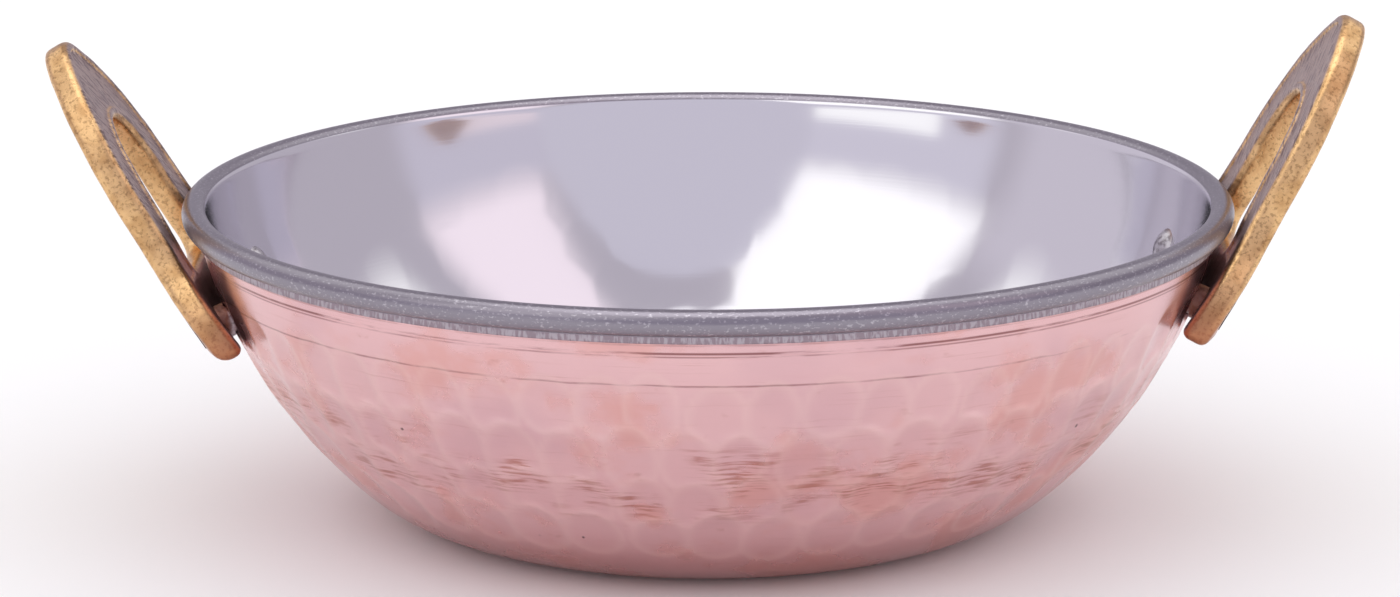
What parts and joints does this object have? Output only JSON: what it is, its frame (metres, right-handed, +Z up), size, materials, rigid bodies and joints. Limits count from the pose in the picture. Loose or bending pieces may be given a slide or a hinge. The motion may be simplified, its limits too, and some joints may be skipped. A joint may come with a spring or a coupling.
{
  "type": "kadai",
  "caption": "Small round two-layer kadai: hammered copper skin over a steel bowl with a rolled rim, and a cast brass loop handle riveted on each side.",
  "frame": {"origin": "centre of the flat base, on the surface it stands on", "axes": "+Z up through the bowl's axis, +X through the middle of the right-hand handle, +Y away from the camera of the picture"},
  "size_m": [0.1875, 0.15, 0.0714],
  "materials": {
    "copper": "hammered and polished copper",
    "steel": "spun and polished stainless steel",
    "cast_brass": "sand-cast brass, linished on its edges",
    "rivet": "plain steel rivets"
  },
  "bodies": {
    "root": {"copper_shell": "copper", "steel_bowl": "steel", "handle_left": "cast_brass", "handle_right": "cast_brass", "rivet_left_front": "rivet", "rivet_left_back": "rivet", "rivet_right_front": "rivet", "rivet_right_back": "rivet"}
  },
  "joints": []
}
